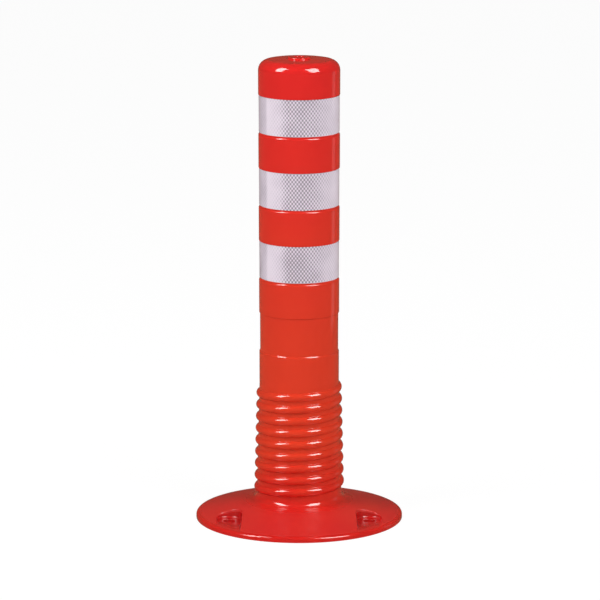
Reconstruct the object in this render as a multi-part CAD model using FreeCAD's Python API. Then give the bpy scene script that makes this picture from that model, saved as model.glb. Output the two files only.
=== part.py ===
import FreeCAD, Part
import math
import os

# Flexible delineator post. Millimetres, +Z up, origin at the centre of the flange's underside.
# The moulding is divided along its height where it flexes: the flange, twelve neck slices, the tube.

# Flange
flange_radius = 100.0
rim_height = 4.6
rim_round = 2.4
foot_round = 0.5
dome_height = 20.2           # where the slope of the shallow dome would meet the neck
dome_fillet = 6.8            # between the dome and the neck

# Anchor holes, each in the floor of a slot that is open towards the rim
anchor_count = 3
anchor_circle_radius = 78.0
anchor_first_angle = 90.0    # degrees from +X; the first anchor is at the back
anchor_hole_radius = 5.75
slot_floor = 5.4
slot_half_width = 12.0       # at the floor
slot_inner_reach = 13.0      # from the hole's centre to the inner end, at the floor
slot_corner = 11.5           # between the inner end and the sides, seen from above
slot_draft = 9.0             # degrees; how far the walls lean outwards
slot_floor_round = 2.0

# Reflective bands and the recesses they lie in
recess_count = 4             # the lowest recess is left without a band
band_count = 3
recess_height = 37.0
recess_depth = 0.8
band_gap_above = 0.2
band_gap_below = 1.5
band_thickness = 0.35
band_lap_width = 8.0         # the sheeting laps itself at the back

# Tube and head
tube_foot = 166.2
tube_radius_low = 38.35      # at the tube's foot
tube_radius_high = 39.15     # at the head's shoulder
tube_bore_radius = 34.4
ring_round = 0.5
ring_slope = 0.9             # height over which the upper edge of each raised ring slopes in
ring_shoulder_round = 2.2    # between that slope and the ring's face
head_height = 34.2
head_round = 10.0
head_wall = 4.0
head_crown = 1.3             # how far the top rises from the shoulder to the boss
spigot_length = 12.0
spigot_wall = 3.0
spigot_clearance = 0.1
boss_radius = 10.9
boss_height = 1.6
boss_round = 0.8
eye_radius = 4.5
total_height = 450.0

# Helical neck
neck_foot = 28.4
neck_slices = 12
rib_turns = 9
rib_pitch = 11.65
rib_height = 2.8             # how far the rib stands out of the wall
rib_half_width = 3.75        # at the wall
rib_root_depth = 1.2         # how far the rib is rooted in the wall
rib_nose_step = 0.1          # the rounded nose at each end is this much smaller than the rib
neck_wall = 3.7
neck_radius_low = 40.9       # wall radius at the flange
neck_radius_high = 38.3      # wall radius where the rib ends

# Heights that follow from these
head_top = total_height - boss_height
head_foot = head_top - head_height
slice_height = (tube_foot - neck_foot) / neck_slices
recess_pitch = (head_foot - tube_foot - recess_height) / (recess_count - 1)
recess_tops = [head_foot - index * recess_pitch for index in range(recess_count)]
rib_foot = neck_foot - 0.07 * rib_pitch
rib_top = rib_foot + rib_turns * rib_pitch

BIG = 4 * flange_radius
UP = FreeCAD.Vector(0, 0, 1)
ORIGIN = FreeCAD.Vector(0, 0, 0)


def along(height, low, high):
    """Linear value at a height, between (height, value) pairs low and high."""
    share = (height - low[0]) / (high[0] - low[0])
    return low[1] + share * (high[1] - low[1])


def wall_radius(height):
    """Outer radius of the neck's wall: tapered along the rib, then straight up to the tube."""
    if height <= rib_top:
        return along(height, (neck_foot, neck_radius_low), (rib_top, neck_radius_high))
    return along(height, (rib_top, neck_radius_high), (tube_foot, tube_radius_low))


def bore_radius(height):
    """Inner radius of the neck and flange."""
    return wall_radius(height) - neck_wall


def tube_radius(height):
    return along(height, (tube_foot, tube_radius_low), (head_top, tube_radius_high))


def corner(before, point, after, radius):
    """The two tangent points and the middle of the arc that rounds a corner of a profile."""
    to_before, to_after = before - point, after - point
    to_before.normalize()
    to_after.normalize()
    half = to_before.getAngle(to_after) / 2
    reach = radius / math.tan(half)
    middle_way = to_before + to_after
    middle_way.normalize()
    middle = point + middle_way * (radius / math.sin(half) - radius)
    return point + to_before * reach, middle, point + to_after * reach


def turned(profile):
    """A solid of revolution about Z from (radius, height) or (radius, height, rounding) corners."""
    points = [FreeCAD.Vector(p[0], 0, p[1]) for p in profile]
    edges, ends = [], []
    for index, spec in enumerate(profile):
        rounding = spec[2] if len(spec) > 2 else 0
        if not rounding:
            ends.append((points[index], points[index]))
            continue
        after = points[(index + 1) % len(points)]
        start, middle, stop = corner(points[index - 1], points[index], after, rounding)
        edges.append(Part.Arc(start, middle, stop).toShape())
        ends.append((start, stop))
    for index, (start, _) in enumerate(ends):
        leaving = ends[index - 1][1]
        if (start - leaving).Length > 1e-6:
            edges.append(Part.LineSegment(leaving, start).toShape())
    wire = Part.Wire(Part.__sortEdges__(edges))
    return Part.Face(wire).revolve(ORIGIN, UP, 360)


def slab(low, high):
    """A box that holds everything between two heights."""
    return Part.makeBox(BIG, BIG, high - low, FreeCAD.Vector(-BIG / 2, -BIG / 2, low))


def helical_rib():
    """The rib round the neck, a right-handed helix on the tapered wall, and the rounded nose at each end."""
    rise = rib_turns * rib_pitch
    widening = wall_radius(rib_foot) - wall_radius(rib_top)
    path = Part.makeHelix(rib_pitch, rise, wall_radius(rib_top), math.degrees(math.atan2(widening, rise)))
    path.rotate(ORIGIN, FreeCAD.Vector(1, 0, 0), 180)
    path.rotate(ORIGIN, UP, 90)
    path.translate(UP * rib_top)
    crown = (rib_height ** 2 + rib_half_width ** 2) / (2 * rib_height)
    root = wall_radius(rib_top) - rib_root_depth
    centre = wall_radius(rib_top) + rib_height - crown
    half = math.sqrt(crown ** 2 - (root - centre) ** 2)
    low, tip, high = (
        FreeCAD.Vector(0, root, rib_top - half),
        FreeCAD.Vector(0, centre + crown, rib_top),
        FreeCAD.Vector(0, root, rib_top + half),
    )
    section = Part.Wire([Part.Arc(low, tip, high).toShape(), Part.LineSegment(high, low).toShape()])
    sweep = Part.BRepOffsetAPI.MakePipeShell(Part.Wire(path.Edges))
    sweep.setBiNormalMode(UP)
    sweep.add(section)
    sweep.build()
    sweep.makeSolid()
    noses = []
    for height in (rib_foot, rib_top):
        nose_centre = FreeCAD.Vector(0, wall_radius(height) + rib_height - crown, height)
        core = turned([
            (0, height - crown),
            (wall_radius(height) - rib_root_depth, height - crown),
            (wall_radius(height) - rib_root_depth, height + crown),
            (0, height + crown),
        ])
        noses.append(Part.makeSphere(crown - rib_nose_step, nose_centre).cut(core))
    return [sweep.shape()] + noses


def neck():
    """The whole neck, from inside the flange up to the tube, before it is divided."""
    heights = [neck_foot - rib_pitch, rib_top, tube_foot]
    shoulder = tube_foot - ring_slope
    outside = [(wall_radius(height), height) for height in heights[:-1]]
    outside += [
        (wall_radius(shoulder), shoulder, ring_shoulder_round),
        (wall_radius(tube_foot) - recess_depth, tube_foot),
    ]
    inside = [(bore_radius(height), height) for height in reversed(heights)]
    shape = turned(outside + inside)
    for solid in helical_rib():
        shape = shape.fuse(solid)
    return shape


def slot_outline(height):
    """Outline of an anchor slot at a height, with the hole's centre as origin and its open end towards -Y."""
    lean = (height - slot_floor) * math.tan(math.radians(slot_draft))
    side, end = slot_half_width + lean, slot_inner_reach + lean
    front_left, front_right, back_right, back_left = (
        FreeCAD.Vector(x, y, height)
        for x, y in ((-side, -flange_radius), (side, -flange_radius), (side, end), (-side, end))
    )
    right = corner(front_right, back_right, back_left, slot_corner)
    left = corner(back_right, back_left, front_left, slot_corner)
    return Part.Wire([
        Part.LineSegment(front_left, front_right).toShape(),
        Part.LineSegment(front_right, right[0]).toShape(),
        Part.Arc(*right).toShape(),
        Part.LineSegment(right[2], left[0]).toShape(),
        Part.Arc(*left).toShape(),
        Part.LineSegment(left[2], front_left).toShape(),
    ])


def anchor_slot():
    """What is cut away for one anchor: the hole and the slot above it, open towards -Y."""
    slot = Part.makeLoft([slot_outline(slot_floor), slot_outline(neck_foot)], True, True)
    floor_edges = [
        edge for edge in slot.Edges
        if edge.BoundBox.ZMax < slot_floor + 0.01 and edge.BoundBox.YMax > 0.01 - flange_radius
    ]
    slot = slot.makeFillet(slot_floor_round, floor_edges)
    return slot.fuse(Part.makeCylinder(anchor_hole_radius, slot_floor + slot_floor_round))


def base_flange(whole_neck):
    """Round flange with a rounded rim, a shallow dome that runs up into the neck, and the anchor slots."""
    shape = turned([
        (bore_radius(0), 0),
        (flange_radius, 0, foot_round),
        (flange_radius, rim_height, rim_round),
        (wall_radius(dome_height), dome_height, dome_fillet),
        (neck_radius_low, neck_foot),
        (bore_radius(neck_foot), neck_foot),
    ])
    shape = shape.fuse(whole_neck.common(slab(0, neck_foot)))
    for index in range(anchor_count):
        angle = math.radians(anchor_first_angle + index * 360 / anchor_count)
        slot = anchor_slot()
        if math.sin(angle) > 0:
            slot.rotate(ORIGIN, UP, 180)
        place = FreeCAD.Vector(math.cos(angle), math.sin(angle), 0) * anchor_circle_radius
        slot.translate(place)
        shape = shape.cut(slot)
    return shape


def neck_slice(whole_neck, index):
    """One slice of the neck: a ring of wall with its stretch of rib."""
    low = neck_foot + index * slice_height
    return whole_neck.common(slab(low, low + slice_height))


def post_tube():
    """Hollow tube with a shallow recess for each reflective band between raised rings."""
    outside = [(tube_bore_radius, tube_foot), (tube_radius(tube_foot) - recess_depth, tube_foot)]
    for ring_foot in reversed(recess_tops[1:]):
        ring_top = ring_foot + recess_pitch - recess_height
        shoulder = ring_top - ring_slope
        outside += [
            (tube_radius(ring_foot) - recess_depth, ring_foot),
            (tube_radius(ring_foot), ring_foot, ring_round),
            (tube_radius(shoulder), shoulder, ring_shoulder_round),
            (tube_radius(ring_top) - recess_depth, ring_top),
        ]
    outside += [(tube_radius(head_foot) - recess_depth, head_foot), (tube_bore_radius, head_foot)]
    return turned(outside)


def head_cap():
    """Closed round-shouldered head with a raised boss and its eye, on a spigot that fits the tube's bore."""
    spigot_radius = tube_bore_radius - spigot_clearance
    hollow_radius = spigot_radius - spigot_wall
    spigot_foot = head_foot - spigot_length
    roof = head_top - head_wall
    return turned([
        (hollow_radius, spigot_foot),
        (spigot_radius, spigot_foot),
        (spigot_radius, head_foot),
        (tube_radius(head_foot), head_foot, ring_round),
        (tube_radius(head_top), head_top - head_crown, head_round),
        (boss_radius, head_top),
        (boss_radius, head_top + boss_height, boss_round),
        (eye_radius, head_top + boss_height),
        (eye_radius, roof),
        (hollow_radius, roof, head_wall),
    ])


def reflective_band(top):
    """Thin sheeting wrapped once round a recess, lapping itself at the back."""
    low, high = top - recess_height + band_gap_below, top - band_gap_above

    def sleeve(inner, outer):
        return turned([
            (tube_radius(low) - recess_depth + inner, low),
            (tube_radius(low) - recess_depth + outer, low),
            (tube_radius(high) - recess_depth + outer, high),
            (tube_radius(high) - recess_depth + inner, high),
        ])

    lap_place = FreeCAD.Vector(-band_lap_width / 2, 0, low)
    lap_window = Part.makeBox(band_lap_width, flange_radius, high - low, lap_place)
    lap = sleeve(band_thickness, 2 * band_thickness).common(lap_window)
    return sleeve(0, band_thickness).fuse(lap)


def main():
    whole_neck = neck()
    pieces = {"base_flange": base_flange(whole_neck), "post_tube": post_tube(), "head_cap": head_cap()}
    for index in range(neck_slices):
        ribbed = index < rib_turns
        name = f"neck_turn_{index + 1}" if ribbed else f"neck_plain_{index + 1 - rib_turns}"
        pieces[name] = neck_slice(whole_neck, index)
    for index in range(band_count):
        pieces[f"reflective_band_{index + 1}"] = reflective_band(recess_tops[index])

    os.makedirs("parts", exist_ok=True)
    for name, shape in pieces.items():
        shape.exportStep(f"parts/{name}.step")
        print(name, "valid" if shape.isValid() else "NOT VALID", len(shape.Solids), round(shape.Volume, 1))


main()
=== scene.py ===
import math

import bpy
import numpy as np
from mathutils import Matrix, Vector
from mathutils.geometry import delaunay_2d_cdt


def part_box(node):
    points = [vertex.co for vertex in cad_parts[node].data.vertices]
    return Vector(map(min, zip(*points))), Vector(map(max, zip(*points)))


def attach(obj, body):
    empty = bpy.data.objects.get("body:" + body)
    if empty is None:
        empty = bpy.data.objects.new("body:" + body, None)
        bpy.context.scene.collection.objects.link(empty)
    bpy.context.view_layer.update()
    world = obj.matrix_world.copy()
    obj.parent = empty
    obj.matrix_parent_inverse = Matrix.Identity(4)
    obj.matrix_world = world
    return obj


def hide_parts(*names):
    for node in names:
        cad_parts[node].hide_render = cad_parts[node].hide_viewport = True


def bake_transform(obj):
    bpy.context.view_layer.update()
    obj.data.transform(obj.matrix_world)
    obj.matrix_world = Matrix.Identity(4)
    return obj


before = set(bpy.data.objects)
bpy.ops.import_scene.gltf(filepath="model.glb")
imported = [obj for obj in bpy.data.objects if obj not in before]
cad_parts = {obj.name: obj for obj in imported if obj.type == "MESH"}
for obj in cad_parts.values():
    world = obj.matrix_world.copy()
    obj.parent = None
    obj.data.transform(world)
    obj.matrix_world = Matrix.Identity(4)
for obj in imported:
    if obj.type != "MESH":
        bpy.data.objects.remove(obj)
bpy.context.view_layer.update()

MM = 0.001
SEGMENTS = 240               # round the post
ARC_STEPS = 6                # along a quarter turn of a rounded corner
FILLET_ROWS = 10             # up the fillet at the neck's foot
SLICE_ROWS = 41              # up one slice of the neck
BORE_ROWS = 9
LAP_STEPS = 16               # across the lap of a band
HOLE_SEGMENTS = 48           # round an anchor hole
DOME_ROWS = 14               # out across the dome
STUB_ROWS = 13               # up the stretch of neck that belongs to the flange
ANGLES = np.arange(SEGMENTS) * 2 * math.pi / SEGMENTS


# ---------------------------------------------------------------- sizes, from the frame and in metres

def foot_of(node):
    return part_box(node)[0].z


def top_of(node):
    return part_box(node)[1].z


NECK_NODES = [f"neck_turn_{i}" for i in range(1, 10)] + [f"neck_plain_{i}" for i in range(1, 4)]
BAND_NODES = ["reflective_band_1", "reflective_band_2", "reflective_band_3"]

flange_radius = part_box("base_flange")[1].x
neck_foot = top_of("base_flange")
tube_foot = foot_of("post_tube")
head_foot = top_of("post_tube")
total_height = top_of("head_cap")
spigot_foot = foot_of("head_cap")
slice_height = (tube_foot - neck_foot) / len(NECK_NODES)

rim_height = 4.6 * MM
rim_round = 2.4 * MM
foot_round = 0.5 * MM
dome_height = 20.2 * MM      # where the dome's slope would meet the neck's wall
dome_fillet = 6.8 * MM

anchor_count = 3
anchor_circle_radius = 78.0 * MM
anchor_first_angle = 90.0
anchor_hole_radius = 5.75 * MM
anchor_hole_bevel = 0.4 * MM
slot_floor = 5.4 * MM
slot_half_width = 12.0 * MM
slot_inner_reach = 13.0 * MM
slot_corner = 11.5 * MM
slot_draft = math.radians(9)
slot_floor_round = 2.0 * MM
slot_lip = 1.4 * MM          # softness of the edge where a slot's wall meets the dome
slot_lip_fade = 4.0 * MM     # the lip sharpens over this stretch towards the rim

recess_depth = 0.8 * MM
recess_count = 4
recess_height = 37.0 * MM
band_thickness = 0.35 * MM
band_edge_round = 0.12 * MM
band_lap = 8.0 * MM
tube_radius_low = 38.35 * MM
tube_radius_high = 39.15 * MM
tube_bore_radius = 34.4 * MM
ring_round = 0.5 * MM
ring_slope = 0.9 * MM
ring_shoulder_round = 2.2 * MM

boss_height = 1.6 * MM
boss_radius = 10.9 * MM
boss_round = 0.8 * MM
boss_foot_round = 0.6 * MM
eye_radius = 4.5 * MM
eye_round = 0.7 * MM
head_round = 10.0 * MM
head_wall = 4.0 * MM
head_crown = 1.3 * MM
spigot_wall = 3.0 * MM
spigot_clearance = 0.1 * MM

rib_turns = 9
rib_start = 0.25             # turns from +X, so at the back of the post
rib_pitch = 11.65 * MM
rib_height = 2.8 * MM
rib_half_width = 3.75 * MM
rib_root_share = 0.07        # how much of a pitch the rib starts below the flange's top end
rib_fillet = 0.55 * MM       # softness of the groove where the rib meets the wall
rib_fade = 0.05              # turns over which each end of the rib dies away
neck_wall = 3.7 * MM
neck_radius_low = 40.9 * MM
neck_radius_high = 38.3 * MM
shoulder_approach = 10.0 * MM  # stretch of wall drawn below the shoulder at the neck's top

rib_foot = neck_foot - rib_root_share * rib_pitch
rib_top = rib_foot + rib_turns * rib_pitch
head_top = total_height - boss_height
recess_pitch = (head_foot - tube_foot - recess_height) / (recess_count - 1)


def along(place, low, high):
    """Value at a place on the straight line through two (place, value) pairs."""
    share = (place - low[0]) / (high[0] - low[0])
    return low[1] + share * (high[1] - low[1])


def wall_radius(height):
    """Outer radius of the neck's wall."""
    ribbed = along(height, (neck_foot, neck_radius_low), (rib_top, neck_radius_high))
    plain = along(height, (rib_top, neck_radius_high), (tube_foot, tube_radius_low))
    return np.where(height <= rib_top, ribbed, plain)


def tube_radius(height):
    return along(height, (tube_foot, tube_radius_low), (head_top, tube_radius_high))


dome_top = (float(wall_radius(dome_height)), dome_height)


def dome_surface(radius):
    """Height of the flange's shallow dome."""
    return along(radius, (flange_radius, rim_height), dome_top)


def smoothstep(value):
    value = np.clip(value, 0, 1)
    return value * value * (3 - 2 * value)


# ---------------------------------------------------------------- meshes with exact normals

class Shell:
    """Collects faces and the exact normal at each of their corners, then welds them into one mesh."""

    weld = 0.002 * MM

    def __init__(self):
        self.points, self.corners, self.sizes, self.normals = [], [], [], []
        self.count = 0

    def add(self, points, faces, normals):
        """points (n, 3), faces as rows of point numbers, and a normal for each corner of each face."""
        self.points.append(np.asarray(points, float))
        faces = np.asarray(faces)
        self.corners.append((faces + self.count).ravel())
        self.sizes += [faces.shape[1]] * len(faces)
        self.normals.append(np.asarray(normals, float).reshape(-1, 3))
        self.count += len(points)

    def grid(self, points, starts, ends):
        """points (rows, columns, 3) round the axis; starts and ends hold the normals of each row of faces."""
        rows, columns = points.shape[:2]
        row, column = np.meshgrid(np.arange(rows - 1), np.arange(columns), indexing="ij")
        after = (column + 1) % columns
        corners = np.stack([row * columns + column, row * columns + after,
                            (row + 1) * columns + after, (row + 1) * columns + column], -1)
        normals = np.stack([starts[row, column], starts[row, after],
                            ends[row, after], ends[row, column]], -2)
        self.add(points.reshape(-1, 3), corners.reshape(-1, 4), normals)

    def mesh(self, name):
        points = np.concatenate(self.points)
        keys = np.round(points / self.weld).astype(np.int64)
        _, first, where = np.unique(keys, axis=0, return_index=True, return_inverse=True)
        corners = where.ravel()[np.concatenate(self.corners)]
        normals = np.concatenate(self.normals)
        faces, kept, place = [], [], 0
        for size in self.sizes:
            face = corners[place:place + size]
            fresh = [i for i in range(size) if face[i] != face[i - 1]]
            if len(fresh) > 2:
                faces.append([int(face[i]) for i in fresh])
                kept += [place + i for i in fresh]
            place += size
        mesh = bpy.data.meshes.new(name)
        mesh.from_pydata(points[first].tolist(), [], faces)
        mesh.polygons.foreach_set("use_smooth", [True] * len(mesh.polygons))
        lengths = np.linalg.norm(normals, axis=1, keepdims=True)
        normals = (normals / np.maximum(lengths, 1e-12))[kept]
        mesh.normals_split_custom_set(normals.tolist())
        return mesh


def piece(name, mesh, surface, slot, body, *nodes):
    """An object made of that mesh, which stands for the CAD nodes and rides on a body."""
    thing = bpy.data.objects.new(name, mesh)
    bpy.context.scene.collection.objects.link(thing)
    thing.data.materials.append(surface)
    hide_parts(*nodes)
    if body:
        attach(thing, body)
    return thing


def outline(corners, closed=True):
    """Runs of (start, stop, normal at the start, normal at the stop) along (radius, height) corners that go
    round with the solid on their left. A third value rounds a corner."""
    spots = [np.array(corner[:2], float) for corner in corners]
    joins, count = [], len(corners)
    for index, corner in enumerate(corners):
        spot, rounding = spots[index], corner[2] if len(corner) > 2 else 0
        if not rounding:
            joins.append((spot, spot, None))
            continue
        back, ahead = spots[index - 1] - spot, spots[(index + 1) % count] - spot
        back, ahead = back / np.linalg.norm(back), ahead / np.linalg.norm(ahead)
        half = math.acos(np.clip(back @ ahead, -1, 1)) / 2
        reach = rounding / math.tan(half)
        bisector = (back + ahead) / np.linalg.norm(back + ahead)
        centre = spot + bisector * rounding / math.sin(half)
        joins.append((spot + back * reach, spot + ahead * reach, centre))

    runs = []
    for index, (start, stop, centre) in enumerate(joins):
        if centre is not None:
            turn = math.atan2(*(start - centre)[::-1]), math.atan2(*(stop - centre)[::-1])
            sweep = (turn[1] - turn[0] + math.pi) % (2 * math.pi) - math.pi
            steps = max(2, round(ARC_STEPS * abs(sweep) / (math.pi / 2)))
            angles = turn[0] + sweep * np.arange(steps + 1) / steps
            spokes = np.stack([np.cos(angles), np.sin(angles)], 1)
            arc = centre + np.linalg.norm(start - centre) * spokes
            facing = spokes if sweep > 0 else -spokes
            runs += [(arc[k], arc[k + 1], facing[k], facing[k + 1]) for k in range(steps)]
        if index == count - 1 and not closed:
            break
        following = joins[(index + 1) % count][0]
        step = following - stop
        if np.linalg.norm(step) > 1e-7:
            facing = np.array([step[1], -step[0]]) / np.linalg.norm(step)
            runs.append((stop, following, facing, facing))
    return runs


def ring(radius, height, angles=ANGLES):
    """Points round the axis."""
    return np.stack([radius * np.cos(angles), radius * np.sin(angles), np.full(len(angles), height)], -1)


UPWARD = ring(0.0, 1.0)[None]
INWARD = np.array([-1.0, 0.0])


def spun(shell, runs):
    """Turns an outline's runs about the axis."""
    for start, stop, from_normal, to_normal in runs:
        shell.grid(np.stack([ring(*start), ring(*stop)]), ring(*from_normal)[None], ring(*to_normal)[None])


# ---------------------------------------------------------------- helical neck

def fillet_arc():
    """Start, stop and centre of the fillet between the dome and the neck, as (radius, height)."""
    runs = outline([
        (flange_radius, rim_height), (*dome_top, dome_fillet), (neck_radius_low, neck_foot), (0.0, 0.0),
    ])
    arc = [run for run in runs if abs(run[2][0] - run[3][0]) > 1e-9]
    return arc[0][0], arc[-1][1], arc[0][0] + arc[0][2] * dome_fillet


fillet_start, fillet_stop, fillet_centre = fillet_arc()
fillet_ends = [math.acos((fillet_centre[1] - spot[1]) / dome_fillet) for spot in (fillet_start, fillet_stop)]
fillet_heights = fillet_centre[1] - dome_fillet * np.cos(np.linspace(*fillet_ends, FILLET_ROWS))

shoulder_runs = outline([
    (0.0, neck_foot),
    (float(wall_radius(tube_foot - shoulder_approach)), tube_foot - shoulder_approach),
    (float(wall_radius(tube_foot - ring_slope)), tube_foot - ring_slope, ring_shoulder_round),
    (float(wall_radius(tube_foot)) - recess_depth, tube_foot),
], closed=False)[1:]
shoulder_heights = np.array([run[0][1] for run in shoulder_runs] + [tube_foot])[1:]
shoulder_radii = np.array([run[0][0] for run in shoulder_runs] + [shoulder_runs[-1][1][0]])[1:]


def body_radius(height):
    """Outer radius without the rib: the fillet at the neck's foot, its wall, and the shoulder at its top."""
    height = np.asarray(height, float)
    reach = np.sqrt(np.maximum(dome_fillet ** 2 - (fillet_centre[1] - height) ** 2, 0))
    wall = np.where(height > shoulder_heights[0], np.interp(height, shoulder_heights, shoulder_radii),
                    wall_radius(height))
    return np.where(height < fillet_stop[1], fillet_centre[0] - reach, wall)


def rib_swell(angle, height):
    """How far the rib stands out of the wall."""
    turned = ((angle / (2 * math.pi)) - rib_start) % 1.0
    turn = np.round((height - rib_foot) / rib_pitch - turned)
    crown = (rib_height ** 2 + rib_half_width ** 2) / (2 * rib_height)
    sink = 0.5 * (np.sqrt(rib_height ** 2 + rib_fillet ** 2) - rib_height)
    swell = np.zeros(np.broadcast(angle, height).shape)
    for shift in (-1, 0, 1):
        place = turn + shift + turned
        offset = height - rib_foot - place * rib_pitch
        arch = np.sqrt(np.maximum(crown ** 2 - offset ** 2, 0)) - (crown - rib_height)
        arch = np.where(np.abs(offset) < crown, arch, -rib_height)
        rounded = 0.5 * (arch + np.sqrt(arch ** 2 + rib_fillet ** 2)) - sink
        ends = smoothstep(place / rib_fade) * smoothstep((rib_turns - place) / rib_fade)
        swell = np.maximum(swell, np.maximum(rounded, 0) * ends)
    return swell


def neck_point(angle, height):
    radius = body_radius(height) + rib_swell(angle, height)
    return np.stack(np.broadcast_arrays(radius * np.cos(angle), radius * np.sin(angle), height), -1)


def neck_normal(angle, height):
    step_angle, step_height = 1e-4, 2e-6
    across = neck_point(angle + step_angle, height) - neck_point(angle - step_angle, height)
    up = neck_point(angle, height + step_height) - neck_point(angle, height - step_height)
    facing = np.cross(across, up)
    return facing / np.linalg.norm(facing, axis=-1, keepdims=True)


def add_neck_wall(shell, heights):
    """The neck's outer face through those heights; gives its points."""
    heights, angles = heights[:, None], ANGLES[None, :]
    points, normals = neck_point(angles, heights), neck_normal(angles, heights)
    shell.grid(points, normals[:-1], normals[1:])
    return points


def neck_slice(low, high):
    """One slice of the neck as a closed shell: ribbed outside, smooth bore, flat ends."""
    shell = Shell()
    heights = np.linspace(low, high, SLICE_ROWS)
    if high > shoulder_heights[0]:
        heights = np.union1d(heights, np.clip(shoulder_heights, low, high))
    outside = add_neck_wall(shell, heights)
    bore = [np.array([float(wall_radius(h)) - neck_wall, h]) for h in np.linspace(high, low, BORE_ROWS)]
    spun(shell, [(start, stop, INWARD, INWARD) for start, stop in zip(bore, bore[1:])])
    shell.grid(np.stack([outside[-1], ring(*bore[0])]), UPWARD, UPWARD)
    shell.grid(np.stack([ring(*bore[-1]), outside[0]]), -UPWARD, -UPWARD)
    return shell.mesh("neck_slice")


# ---------------------------------------------------------------- materials

def greys(*stops):
    return [(place, (value,) * 3) for place, value in stops]


WHITE = (1, 1, 1, 1)

MOULDING_STOPS = [           # up the post, as shares of its height
    (0.00, (0.67, 0.014, 0.012)), (0.05, (0.69, 0.020, 0.014)), (0.16, (0.73, 0.043, 0.017)),
    (0.36, (0.73, 0.042, 0.017)), (0.60, (0.73, 0.032, 0.017)), (0.76, (0.73, 0.023, 0.017)),
    (0.95, (0.73, 0.018, 0.017)),
]
MOULDING_CLOUDS = 0.16       # how far clouding shifts the colour up or down
MOULDING_ROUGHNESS = (0.05, 0.11)
MOULDING_IOR = 1.6
# painted shade in the anchor slots: the dark red their colour goes towards, and how far it goes at full depth
SLOT_PAINTED_SHADE_COLOUR = (0.42, 0.004, 0.006, 1)
SLOT_PAINTED_SHADE_SHARE = 0.65
DOME_GRAIN = greys((0.46, 0), (0.60, 1), (0.955, 1), (0.985, 0))  # shares of the flange's radius
DOME_ROUGHNESS = 0.3         # added on the dome, less in the slots
SLOT_GLOSS = 0.6
DOME_CEILING = 0.75          # share of the flange's height below which the grain lies

LATTICE_COUNT = 73           # diamonds once round
LATTICE_RISE = 4.2 * MM
LATTICE_DEPTH_AND_PAINTED_LIGHT = greys(       # once round, with the front at 0.5; painted so the lattice shows most across the front and fades to the sides
    (0.0, 0.30), (0.36, 0.10), (0.42, 0.22), (0.45, 0.55), (0.54, 0.55), (0.60, 0.28), (0.68, 0.14),
    (1.0, 0.30),
)
# painted highlight and shade once round, with the front at 0.5 and higher values darker: a bright streak left
# of the front, darker across the front than round the sides
SHEETING_PAINTED_LIGHT = greys(
    (0.0, 0.40), (0.30, 0.50), (0.345, 0.46), (0.36, 0.10), (0.42, 0.32), (0.455, 0.60), (0.515, 0.63),
    (0.555, 0.53), (0.59, 0.44), (0.64, 0.33), (0.72, 0.18), (1.0, 0.40),
)
SHEETING_CLOUDS = 0.35
SHEETING_STOPS = [(0.15, (0.82, 0.727, 0.815)), (0.5, (0.62, 0.545, 0.626)), (0.85, (0.30, 0.258, 0.303))]
SHEETING_ROUGHNESS = (0.16, 0.3)
BUMP_DISTANCE = 0.2 * MM


class Nodes:
    """A node tree that is built by calls which give their output."""

    def __init__(self, tree):
        self.tree = tree
        tree.nodes.clear()

    def feed(self, socket, value):
        """Sets a socket to a constant or links it to an output."""
        if isinstance(value, bpy.types.NodeSocket):
            self.tree.links.new(value, socket)
        else:
            socket.default_value = value

    def new(self, kind, inputs, **settings):
        """A node with those settings; inputs go by name or number."""
        node = self.tree.nodes.new("ShaderNode" + kind)
        for name, value in settings.items():
            setattr(node, name, value)
        for key, value in inputs.items():
            self.feed(node.inputs[key], value)
        return node.outputs

    def maths(self, operation, *values):
        return self.new("Math", dict(enumerate(values)), operation=operation)[0]

    def noise(self, place, scale, detail):
        return self.new("TexNoise", {"Scale": scale, "Detail": detail, "Vector": place})[0]

    def clouding(self, place, scale, detail, amount):
        """Noise about zero."""
        return self.maths("MULTIPLY", self.maths("SUBTRACT", self.noise(place, scale, detail), 0.5), amount)

    def spread(self, value, low, high):
        """Carries 0…1 to low…high."""
        return self.new("MapRange", {"To Min": low, "To Max": high, "Value": value})[0]

    def bump(self, height, strength):
        return self.new("Bump", {"Strength": strength, "Distance": BUMP_DISTANCE, "Height": height})[0]

    def mix(self, share, first, second):
        return self.new("MixShader", {0: share, 1: first, 2: second})[0]

    def ramp(self, value, stops):
        """Colours along a value that runs from 0 to 1."""
        node = self.tree.nodes.new("ShaderNodeValToRGB")
        self.feed(node.inputs[0], value)
        elements = node.color_ramp.elements
        while len(elements) < len(stops):
            elements.new(0.5)
        for element, (place, colour) in zip(elements, stops):
            element.position = place
            element.color = (*colour, 1)
        return node.outputs[0]

    def object_axes(self):
        """Object coordinates, whole and as separate X, Y and Z."""
        place = self.new("TexCoord", {})["Object"]
        return place, self.new("SeparateXYZ", {0: place})


def material(name):
    made = bpy.data.materials.new(name)
    made.use_nodes = True
    return made, Nodes(made.node_tree)


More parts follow.
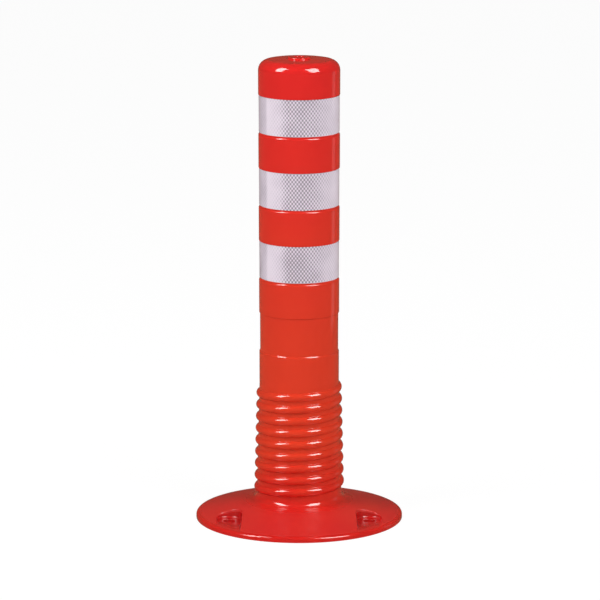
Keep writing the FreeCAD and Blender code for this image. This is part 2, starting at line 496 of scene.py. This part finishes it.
def moulding_material():
    """Glossy red-orange polyurethane: more orange up to the tube, faintly clouded, with a moulded skin that is
    grained on the flange's dome. The attribute "sunk" paints shade into the slots, darker with depth, and keeps
    them glossier."""
    made, tree = material("moulding")
    place, axes = tree.object_axes()
    sunk = tree.new("Attribute", {}, attribute_name="sunk")["Fac"]

    drift = tree.clouding(place, 22.0, 3.0, MOULDING_CLOUDS)
    height = tree.maths("ADD", tree.maths("DIVIDE", axes[2], total_height), drift)
    # painted shade: where the attribute "sunk" is set, the colour goes towards a dark red in the slots
    colour = tree.new("Mix", {
        0: tree.maths("MULTIPLY", sunk, SLOT_PAINTED_SHADE_SHARE), 6: tree.ramp(height, MOULDING_STOPS), 7: SLOT_PAINTED_SHADE_COLOUR,
    }, data_type="RGBA")[2]

    gloss = tree.spread(tree.noise(place, 160.0, 5.0), *MOULDING_ROUGHNESS)
    reach = tree.new("VectorMath", {0: place}, operation="LENGTH")["Value"]
    grained = tree.ramp(tree.maths("DIVIDE", reach, flange_radius), DOME_GRAIN)
    open_share = tree.maths("SUBTRACT", 1.0, tree.maths("MULTIPLY", sunk, SLOT_GLOSS))
    low = tree.maths("MULTIPLY", tree.maths("LESS_THAN", axes[2], neck_foot * DOME_CEILING), open_share)
    matt = tree.maths("MULTIPLY", tree.maths("MULTIPLY", grained, low), DOME_ROUGHNESS)

    shader = tree.new("BsdfPrincipled", {
        "Base Color": colour, "Roughness": tree.maths("ADD", gloss, matt), "IOR": MOULDING_IOR,
        "Normal": tree.bump(tree.noise(place, 700.0, 2.0), 0.04),
    })[0]
    tree.new("OutputMaterial", {0: shader})
    return made


def sheeting_material():
    """Clear-faced prismatic sheeting: a lavender white with a diamond lattice of grey dots under the face, with
    painted light round the post: a bright streak left of the front, darker across the front, and the lattice
    strongest there.
    """
    made, tree = material("sheeting")
    place, axes = tree.object_axes()
    turn = tree.maths("ARCTAN2", axes[0], tree.maths("MULTIPLY", axes[1], -1.0))
    around = tree.maths("COSINE", tree.maths("MULTIPLY", turn, float(LATTICE_COUNT)))
    rising = tree.maths("COSINE", tree.maths("MULTIPLY", axes[2], 2 * math.pi / LATTICE_RISE))
    # painted light: the tone and the lattice's strength follow the angle round the post
    share = tree.maths("ADD", tree.maths("DIVIDE", turn, 2 * math.pi), 0.5)
    lattice = tree.maths("MULTIPLY", tree.maths("MULTIPLY", around, rising), tree.ramp(share, LATTICE_DEPTH_AND_PAINTED_LIGHT))
    shade = tree.maths("ADD", tree.ramp(share, SHEETING_PAINTED_LIGHT), tree.clouding(place, 60.0, 3.0, SHEETING_CLOUDS))
    amount = tree.maths("ADD", lattice, shade)
    shader = tree.new("BsdfPrincipled", {
        "Base Color": tree.ramp(amount, SHEETING_STOPS),
        "Roughness": tree.spread(tree.noise(place, 300.0, 3.0), *SHEETING_ROUGHNESS),
        "Normal": tree.bump(amount, 0.08),
    })[0]
    tree.new("OutputMaterial", {0: shader})
    return made


moulding = moulding_material()
sheeting = sheeting_material()


# ---------------------------------------------------------------- neck, tube, head and bands

for index, node in enumerate(NECK_NODES):
    low, high = neck_foot + index * slice_height, neck_foot + (index + 1) * slice_height
    thing = piece(f"skin_{node}", neck_slice(low, high), moulding, "moulding", None, node)
    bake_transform(thing)


def tube_mesh():
    """Tube with a raised ring below each recess but the lowest."""
    shell = Shell()
    corners = [(tube_bore_radius, tube_foot), (tube_radius(tube_foot) - recess_depth, tube_foot)]
    for index in range(recess_count - 1, 0, -1):
        ring_foot = head_foot - index * recess_pitch
        ring_top = ring_foot + recess_pitch - recess_height
        shoulder = ring_top - ring_slope
        corners += [
            (tube_radius(ring_foot) - recess_depth, ring_foot),
            (tube_radius(ring_foot), ring_foot, ring_round),
            (tube_radius(shoulder), shoulder, ring_shoulder_round),
            (tube_radius(ring_top) - recess_depth, ring_top),
        ]
    corners += [(tube_radius(head_foot) - recess_depth, head_foot), (tube_bore_radius, head_foot)]
    spun(shell, outline(corners))
    return shell.mesh("tube")


def head_mesh():
    shell = Shell()
    spigot_radius = tube_bore_radius - spigot_clearance
    hollow_radius = spigot_radius - spigot_wall
    roof = head_top - head_wall
    spun(shell, outline([
        (hollow_radius, spigot_foot),
        (spigot_radius, spigot_foot),
        (spigot_radius, head_foot),
        (tube_radius(head_foot), head_foot, ring_round),
        (tube_radius(head_top), head_top - head_crown, head_round),
        (boss_radius, head_top, boss_foot_round),
        (boss_radius, total_height, boss_round),
        (eye_radius, total_height, eye_round),
        (eye_radius, roof),
        (hollow_radius, roof, head_wall),
    ]))
    return shell.mesh("head")


def band_mesh(node):
    """A strip wrapped once round its recess, with a second layer where it laps itself at the back."""
    low, high = foot_of(node), top_of(node)
    inner_low, inner_high = (tube_radius(height) - recess_depth for height in (low, high))
    shell = Shell()
    spun(shell, outline([
        (inner_low, low),
        (inner_low + band_thickness, low, band_edge_round),
        (inner_high + band_thickness, high, band_edge_round),
        (inner_high, high),
    ]))

    half = band_lap / 2 / (inner_low + band_thickness)
    angles = math.pi / 2 + half * np.linspace(-1, 1, LAP_STEPS + 1)
    rows = [ring(radius, height, angles) for radius, height in (
        (inner_low + band_thickness * 0.5, low), (inner_low + 2 * band_thickness, low),
        (inner_high + 2 * band_thickness, high), (inner_high + band_thickness * 0.5, high),
    )]
    outward, upward = ring(1.0, 0.0, angles), ring(0.0, 1.0, angles)
    steps = np.arange(LAP_STEPS)[:, None]
    for side, facing in enumerate((-upward, outward, upward, -outward)):
        points = np.concatenate([rows[side], rows[(side + 1) % 4]])
        shell.add(points, steps + [0, 1, LAP_STEPS + 2, LAP_STEPS + 1], facing[steps + [0, 1, 1, 0]])
    for end, order, side in ((0, (0, 1, 2, 3), 1.0), (LAP_STEPS, (3, 2, 1, 0), -1.0)):
        facing = np.array([math.sin(angles[end]), -math.cos(angles[end]), 0.0]) * side
        shell.add([row[end] for row in rows], [order], [facing] * 4)
    return shell.mesh("band")


piece("skin_tube", tube_mesh(), moulding, "moulding", "post", "post_tube")
piece("skin_head", head_mesh(), moulding, "head", "post", "head_cap")
for node in BAND_NODES:
    piece(f"skin_{node}", band_mesh(node), sheeting, "sheeting", "post", node)


# ---------------------------------------------------------------- flange

bore_radius = neck_radius_low - neck_wall
flange_runs = outline([
    (bore_radius, 0.0), (flange_radius, 0.0, foot_round), (flange_radius, rim_height, rim_round), dome_top,
], closed=False)
rim_runs = flange_runs[1:-1]
dome_outer = flange_runs[-1][0][0]

LOOP_FLOOR = -2.5 * MM       # a line of points inside the edge of a slot's floor
LOOP_LIP = np.array([0.15, 0.35, 0.6, 0.85, 1.1, 1.35, 1.6, 1.85, 2.1, 2.4, 2.8, 3.4, 4.4]) * MM
LOOP_REACH = 7.2 * MM        # the dome's own points keep this far from a slot's floor
LOOP_BEND = 0.8 * MM         # smallest bend of a line
LOOP_MARGINS = (0.8 * MM, 0.4 * MM, 1.2 * MM)  # clear of the dome's inner edge, its outer edge and the hole
SIDE_STEP = 1.5 * MM
SIDE_COUNT = 45
SUNK_DEPTH = 3.0 * MM        # below the dome, where a slot has its full painted shade


def slot_frame(index):
    """Centre of an anchor hole and the direction its slot opens in: -1 towards -Y, +1 towards +Y."""
    angle = math.radians(anchor_first_angle + 360 / anchor_count * index)
    opens = 1 if math.sin(angle) > 0 else -1
    return anchor_circle_radius * math.cos(angle), anchor_circle_radius * math.sin(angle), opens


def slot_distance(x, y, index):
    """How far a place lies outside the flat of a slot's floor."""
    centre_x, centre_y, opens = slot_frame(index)
    half = slot_half_width - slot_floor_round
    rounding = slot_corner - slot_floor_round
    across = np.abs(x - centre_x) - (half - rounding)
    inward = (centre_y - y) * opens - (slot_inner_reach - slot_floor_round - rounding)
    outside = np.hypot(np.maximum(across, 0), np.maximum(inward, 0))
    return outside + np.minimum(np.maximum(across, inward), 0) - rounding


def slot_surface(x, y, index):
    """Height of a slot's flat floor, its rounded edge and its leaning walls."""
    distance = np.maximum(slot_distance(x, y, index), 0)
    lean = math.pi / 2 - slot_draft
    knee = slot_floor_round * math.sin(lean)
    curve = slot_floor_round - np.sqrt(slot_floor_round ** 2 - np.minimum(distance, knee) ** 2)
    wall = np.maximum(distance - knee, 0) * math.tan(lean)
    return slot_floor + curve + wall


def smooth_min(a, b, softness):
    share = np.clip(0.5 + 0.5 * (b - a) / softness, 0, 1)
    return b + (a - b) * share - softness * share * (1 - share)


def top_surface(x, y):
    """Height of the flange's upper side: the dome with its slots."""
    radius = np.hypot(x, y)
    softness = slot_lip * np.clip((dome_outer - radius) / slot_lip_fade, 0.001, 1)
    height = dome_surface(radius)
    for index in range(anchor_count):
        height = smooth_min(height, slot_surface(x, y, index), softness)
    return height


def top_normals(points):
    step = 0.01 * MM
    x, y = points[:, 0], points[:, 1]
    slope_x = (top_surface(x + step, y) - top_surface(x - step, y)) / (2 * step)
    slope_y = (top_surface(x, y + step) - top_surface(x, y - step)) / (2 * step)
    return np.stack([-slope_x, -slope_y, np.ones(len(x))], -1)


def circle(radius, count=SEGMENTS, centre=(0.0, 0.0)):
    angles = np.arange(count) * 2 * math.pi / count
    return np.stack([centre[0] + radius * np.cos(angles), centre[1] + radius * np.sin(angles)], -1)


def slot_loops(index):
    """Lines of points that follow a slot's walls from the floor's edge to past the lip."""
    centre_x, centre_y, opens = slot_frame(index)
    half = slot_half_width - slot_floor_round
    rounding = slot_corner - slot_floor_round
    far = slot_inner_reach - slot_floor_round
    knee = slot_floor_round * math.cos(slot_draft)
    curve = knee * np.sin(np.linspace(0, 1, 6) * math.pi / 2)
    turns = np.linspace(0, math.pi / 2, 9)
    shares = np.arange(1, 12) / 12
    sides = np.arange(1, SIDE_COUNT + 1) * SIDE_STEP
    for offset in [LOOP_FLOOR, *curve, *(knee + LOOP_LIP)]:
        edge, end = half + offset, far + offset
        bend = max(rounding + offset, LOOP_BEND)
        across = np.concatenate([
            np.full(len(sides), edge), edge - bend + bend * np.cos(turns),
            edge - bend - shares * 2 * (edge - bend),
            -(edge - bend) - bend * np.sin(turns), np.full(len(sides), -edge),
        ])
        inward = np.concatenate([
            (end - bend - sides)[::-1], end - bend + bend * np.sin(turns),
            np.full(len(shares), end),
            end - bend + bend * np.cos(turns), end - bend - sides,
        ])
        yield np.stack([centre_x + across, centre_y - opens * inward], -1)


def dome_points():
    """Points between the dome's inner and outer edge, closer together round the slots."""
    loose = np.concatenate([circle(r) for r in np.linspace(fillet_start[0], dome_outer, DOME_ROWS)[1:-1]])
    near = np.min([slot_distance(loose[:, 0], loose[:, 1], i) for i in range(anchor_count)], axis=0)
    kept = [loose[near > LOOP_REACH]]
    from_inner, from_outer, from_mouth = LOOP_MARGINS
    for index in range(anchor_count):
        centre_x, centre_y, _ = slot_frame(index)
        for line in slot_loops(index):
            radius = np.hypot(line[:, 0], line[:, 1])
            to_centre = np.hypot(line[:, 0] - centre_x, line[:, 1] - centre_y)
            kept.append(line[(radius > fillet_start[0] + from_inner) & (radius < dome_outer - from_outer)
                             & (to_centre > anchor_hole_radius + from_mouth)])
    return np.concatenate(kept)


def filled(rings, loose, holes):
    """Triangles between an outer and inner ring with holes left open, as (points, faces)."""
    edges, count = [], 0
    for loop in rings + holes:
        number = len(loop)
        edges += [(count + i, count + (i + 1) % number) for i in range(number)]
        count += number
    points = np.concatenate(rings + holes + [loose])
    result = delaunay_2d_cdt([Vector(p) * 1000 for p in points.tolist()], edges, [], 0, 1e-5)
    source = [origins[0] for origins in result[3]]
    faces = np.array([[source[i] for i in face] for face in result[2]])
    middles = points[faces].mean(axis=1)
    radius = np.hypot(middles[:, 0], middles[:, 1])
    inner, outer = np.hypot(*rings[1][0]), np.hypot(*rings[0][0])
    kept = (radius > inner * math.cos(math.pi / SEGMENTS) - 1e-7) & (radius < outer)
    for hole in holes:
        centre = hole.mean(axis=0)
        reach = np.hypot(*(hole[0] - centre))
        kept &= np.hypot(middles[:, 0] - centre[0], middles[:, 1] - centre[1]) > reach * 0.999
    return points, faces[kept]


def add_anchor_hole(shell, hole, mouth):
    """A hole's bevelled mouth and its wall."""
    out = (hole - hole.mean(axis=0)) / anchor_hole_radius
    level = np.zeros((len(hole), 1))
    steps = [np.hstack([mouth, level + slot_floor]), np.hstack([hole, level + slot_floor - anchor_hole_bevel]),
             np.hstack([hole, level])]
    facing = [np.hstack([-out * 0.3, level + 1.0]), np.hstack([-out, level]), np.hstack([-out, level])]
    for k in range(2):
        shell.grid(np.stack(steps[k:k + 2]), facing[k][None], facing[k + 1][None])


def mark_sunk(mesh):
    """Gives each point of the slots how deep it lies, from 0 to 1, which sets the slots' painted shade and
    their gloss.
    """
    spots = np.empty(len(mesh.vertices) * 3)
    mesh.vertices.foreach_get("co", spots)
    spots = spots.reshape(-1, 3)
    radius = np.hypot(spots[:, 0], spots[:, 1])
    depth = np.clip((dome_surface(radius) - spots[:, 2]) / SUNK_DEPTH - 0.1, 0, 1)
    within = (spots[:, 2] > 1 * MM) & (radius > fillet_start[0]) & (radius < dome_outer - 1 * MM)
    sunk = mesh.attributes.new("sunk", "FLOAT", "POINT")
    sunk.data.foreach_set("value", np.where(within, depth, 0))


def flange_mesh():
    shell = Shell()
    spun(shell, rim_runs)
    centres = [slot_frame(index)[:2] for index in range(anchor_count)]
    holes = [circle(anchor_hole_radius, HOLE_SEGMENTS, centre) for centre in centres]
    mouths = [circle(anchor_hole_radius + anchor_hole_bevel, HOLE_SEGMENTS, centre) for centre in centres]

    # underside
    points, faces = filled([circle(rim_runs[0][0][0]), circle(bore_radius)], np.empty((0, 2)), holes)
    spots = np.column_stack([points, np.zeros(len(points))])
    shell.add(spots, faces[:, ::-1], np.tile([0.0, 0.0, -1.0], (faces.size, 1)))

    # upper side
    points, faces = filled([circle(dome_outer), circle(fillet_start[0])], dome_points(), mouths)
    heights = top_surface(points[:, 0], points[:, 1])
    heights[:SEGMENTS] = rim_runs[-1][1][1]
    heights[SEGMENTS:2 * SEGMENTS] = fillet_start[1]
    spots = np.column_stack([points, heights])
    shell.add(spots, faces, top_normals(spots)[faces])
    for hole, mouth in zip(holes, mouths):
        add_anchor_hole(shell, hole, mouth)

    # fillet, the stretch of neck wall with the foot of the rib, and the top end and bore
    stretch = np.linspace(fillet_heights[-1], neck_foot, STUB_ROWS)[1:]
    outside = add_neck_wall(shell, np.concatenate([fillet_heights, stretch]))
    shell.grid(np.stack([outside[-1], ring(bore_radius, neck_foot)]), UPWARD, UPWARD)
    spun(shell, [(np.array([bore_radius, neck_foot]), np.array([bore_radius, 0.0]), INWARD, INWARD)])
    mesh = shell.mesh("flange")
    mark_sunk(mesh)
    return mesh


piece("skin_base_flange", flange_mesh(), moulding, "moulding", "base", "base_flange")


# ---------------------------------------------------------------- stage, light and camera

FILL_STRENGTH = (0.62, 0.05)      # from the horizon up to the zenith
ROOM_REFLECTED = (1.0, 0.8, 0.5, 1)
ROOM_STRENGTH = 0.10
FLOOR_COLOUR = (0.8, 0.8, 0.8, 1)
FLOOR_REFLECTED = (0.20, 0.13, 0.08, 1)
FLOOR_GLOW = 1.05
FLOOR_GLOW_SHARE = 0.9
FLOOR_REACH = 6.0
LIGHT_AIM = Vector((0, 0, 0.2))
CAMERA_PLACE = (0.0008, -3.459, 0.932)
CAMERA_TILT = 11.72               # degrees below level
CAMERA_LENS = 220.5
CAMERA_SENSOR = 36


def build_world():
    """White behind the post, a dim warm room in its reflections, and a soft fill from the sides and below."""
    world = bpy.data.worlds.new("studio")
    bpy.context.scene.world = world
    world.use_nodes = True
    tree = Nodes(world.node_tree)
    path = tree.new("LightPath", {})
    rise = tree.new("SeparateXYZ", {0: tree.new("TexCoord", {})["Generated"]})[2]
    fill = tree.new("Background", {"Color": WHITE, "Strength": tree.spread(rise, *FILL_STRENGTH)})[0]
    room = tree.new("Background", {"Color": ROOM_REFLECTED, "Strength": ROOM_STRENGTH})[0]
    seen = tree.new("Background", {"Color": WHITE, "Strength": 1.0})[0]
    unseen = tree.mix(path["Is Glossy Ray"], fill, room)
    tree.new("OutputWorld", {0: tree.mix(path["Is Camera Ray"], unseen, seen)})


def build_floor():
    """A plain pale floor, nearly white to the camera and dark in the post's reflections."""
    corners = [(x * FLOOR_REACH, y * FLOOR_REACH, 0) for x, y in ((-1, -1), (1, -1), (1, 1), (-1, 1))]
    mesh = bpy.data.meshes.new("floor")
    mesh.from_pydata(corners, [], [(0, 1, 2, 3)])
    floor = bpy.data.objects.new("floor", mesh)
    bpy.context.scene.collection.objects.link(floor)
    made, tree = material("floor")
    path = tree.new("LightPath", {})
    plain = tree.new("BsdfDiffuse", {"Color": FLOOR_COLOUR})[0]
    glow = tree.new("Emission", {"Strength": FLOOR_GLOW})[0]
    dark = tree.new("Emission", {"Color": FLOOR_REFLECTED})[0]
    seen = tree.mix(tree.maths("MULTIPLY", path["Is Camera Ray"], FLOOR_GLOW_SHARE), plain, glow)
    tree.new("OutputMaterial", {0: tree.mix(path["Is Glossy Ray"], seen, dark)})
    floor.data.materials.append(made)


def softbox(name, azimuth, elevation, distance, width, height, power, card=False):
    """A soft light aimed at the post, with its azimuth from the camera's side towards +X. A card shows only in
    reflections, and any other only lights the surfaces."""
    lamp = bpy.data.lights.new(name, "AREA")
    lamp.shape = "RECTANGLE"
    lamp.size, lamp.size_y, lamp.energy = width, height, power
    thing = bpy.data.objects.new(name, lamp)
    bpy.context.scene.collection.objects.link(thing)
    turn, rise = math.radians(azimuth), math.radians(elevation)
    away = Vector((math.sin(turn) * math.cos(rise), -math.cos(turn) * math.cos(rise), math.sin(rise)))
    thing.location = LIGHT_AIM + away * distance
    thing.rotation_euler = away.to_track_quat("Z", "Y").to_euler()
    thing.visible_diffuse, thing.visible_glossy = not card, card


def build_camera():
    data = bpy.data.cameras.new("camera")
    data.lens = CAMERA_LENS
    data.sensor_width = CAMERA_SENSOR
    thing = bpy.data.objects.new("camera", data)
    bpy.context.scene.collection.objects.link(thing)
    thing.location = CAMERA_PLACE
    thing.rotation_euler = (math.radians(90 - CAMERA_TILT), 0, 0)
    bpy.context.scene.camera = thing


build_world()
build_floor()
softbox("left_softbox", -59, 44, 2.6, 1.15, 1.35, 37)
softbox("right_softbox", 43, 44, 2.6, 1.15, 1.35, 35)
softbox("left_card", -64, 44, 2.5, 0.82, 1.6, 52, card=True)
softbox("right_card", 48, 44, 2.5, 1.15, 1.6, 68, card=True)
softbox("edge_strip", 112, 0, 0.9, 0.24, 0.5, 0.12, card=True)
build_camera()
bpy.context.scene.view_settings.view_transform = "Standard"
